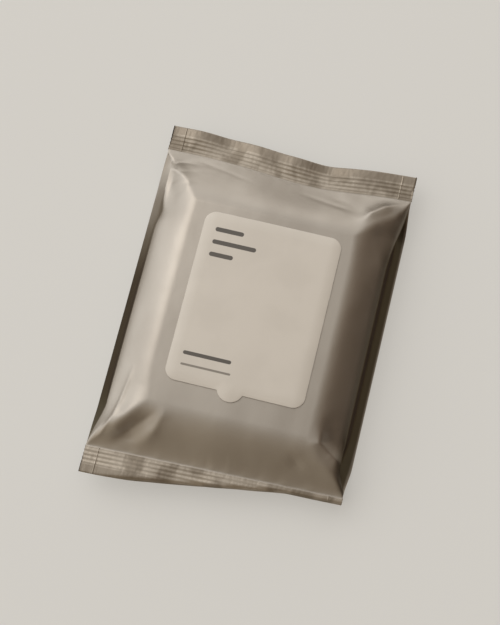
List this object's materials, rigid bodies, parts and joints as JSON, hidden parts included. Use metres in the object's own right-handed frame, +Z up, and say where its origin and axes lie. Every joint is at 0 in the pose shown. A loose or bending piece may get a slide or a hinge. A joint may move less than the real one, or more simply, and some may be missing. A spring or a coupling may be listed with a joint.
{
  "type": "wet wipes pack",
  "caption": "Full film pouch of moist face cloths with side gussets, ribbed seals at both ends and a rounded reseal label with a pull tab on its front.",
  "frame": {"origin": "middle of the pack's footprint, on the surface that it lies on", "axes": "+X to the pack's right as its front is read, +Y towards the head seal, +Z up out of the front panel"},
  "size_m": [0.143, 0.2046, 0.0291],
  "materials": {
    "film": "satin metallised film, taupe",
    "label": "matt coated label, warm beige"
  },
  "bodies": {
    "root": {"film_pouch": "film", "reseal_label": "label"}
  },
  "joints": []
}
